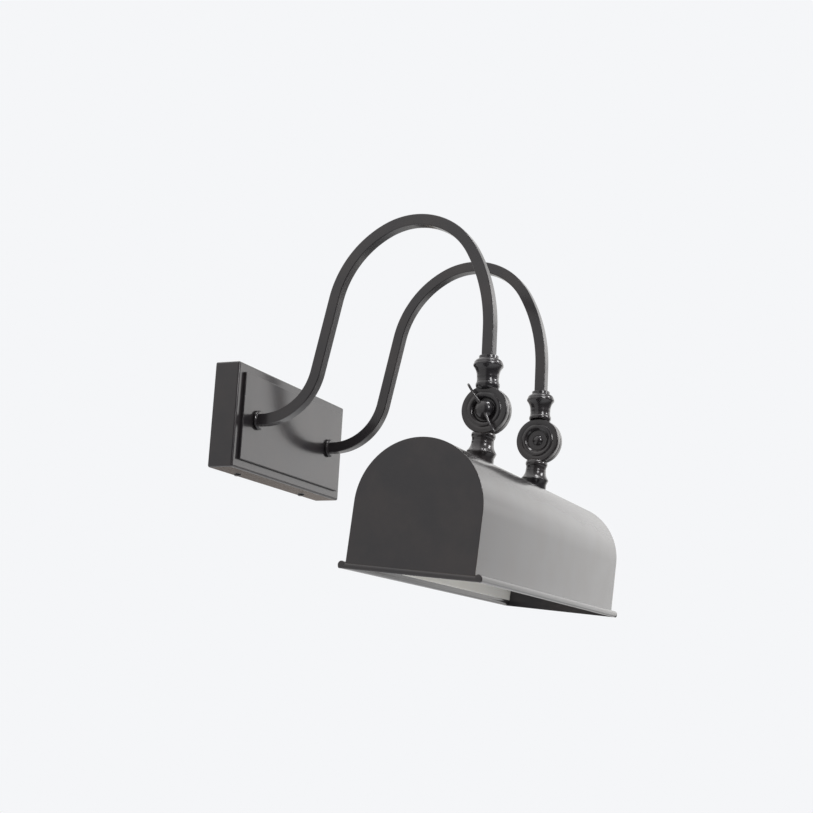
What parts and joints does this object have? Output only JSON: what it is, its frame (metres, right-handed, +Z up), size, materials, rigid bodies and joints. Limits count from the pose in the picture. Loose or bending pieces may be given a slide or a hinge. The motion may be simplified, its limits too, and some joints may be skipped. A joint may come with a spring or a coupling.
{
  "type": "picture light",
  "caption": "Wall picture light: box canopy, twin square-tube goosenecks with clamped swivels, and a long arched trough shade that tilts.",
  "frame": {"origin": "middle of the canopy's back, in the plane of the wall", "axes": "+Z up, -Y out from the wall, X along the canopy and the shade"},
  "size_m": [0.457, 0.3742, 0.4238],
  "materials": {
    "bronze": "smooth satin dark bronze lacquer",
    "zinc": "bright zinc plate",
    "brass": "plain drawn brass",
    "nickel": "drawn aluminium",
    "porcelain": "glazed white porcelain",
    "glass": "frosted white",
    "white_enamel": "white enamel",
    "fibre": "dull vulcanised fibre",
    "green_screw": "green dyed zinc plate"
  },
  "bodies": {
    "wall_side": {"arm_left": "bronze", "arm_lock_nuts": "zinc", "arm_nipples": "zinc", "arm_right": "bronze", "arm_washers": "zinc", "canopy_box": "bronze", "canopy_panel": "bronze", "canopy_screws": "bronze", "collar_left": "bronze", "collar_right": "bronze", "ground_screw": "green_screw", "swivel_washers": "fibre", "upper_knuckle_left": "bronze", "upper_knuckle_right": "bronze", "wall_bracket": "zinc", "wing_washers": "zinc"},
    "shade": {"bolt_washers": "zinc", "bulb_bases": "nickel", "bulb_glass_left": "glass", "bulb_glass_right": "glass", "lower_knuckle_left": "bronze", "lower_knuckle_right": "bronze", "pivot_bolts": "bronze", "shade_cap_left": "bronze", "shade_cap_right": "bronze", "shade_lock_nuts": "zinc", "shade_lock_washers": "zinc", "shade_nipples": "zinc", "shade_shell": "bronze", "shade_washers": "zinc", "socket_bracket_left": "white_enamel", "socket_bracket_right": "white_enamel", "socket_left": "porcelain", "socket_right": "porcelain", "socket_screws": "zinc", "socket_shells": "brass"},
    "wing_nut_left": {"wing_nut_left": "bronze"},
    "wing_nut_right": {"wing_nut_right": "bronze"}
  },
  "joints": [
    {"name": "shade_tilt", "type": "hinge", "parent": "wall_side", "child": "shade", "pos_m": [0, -0.315, 0], "axis": [1, 0, 0], "range_deg": [-50, 40]},
    {"name": "wing_nut_left_turn", "type": "hinge", "parent": "shade", "child": "wing_nut_left", "pos_m": [-0.098, -0.315, 0], "axis": [1, 0, 0], "continuous": true},
    {"name": "wing_nut_right_turn", "type": "hinge", "parent": "shade", "child": "wing_nut_right", "pos_m": [0.098, -0.315, 0], "axis": [1, 0, 0], "continuous": true}
  ]
}
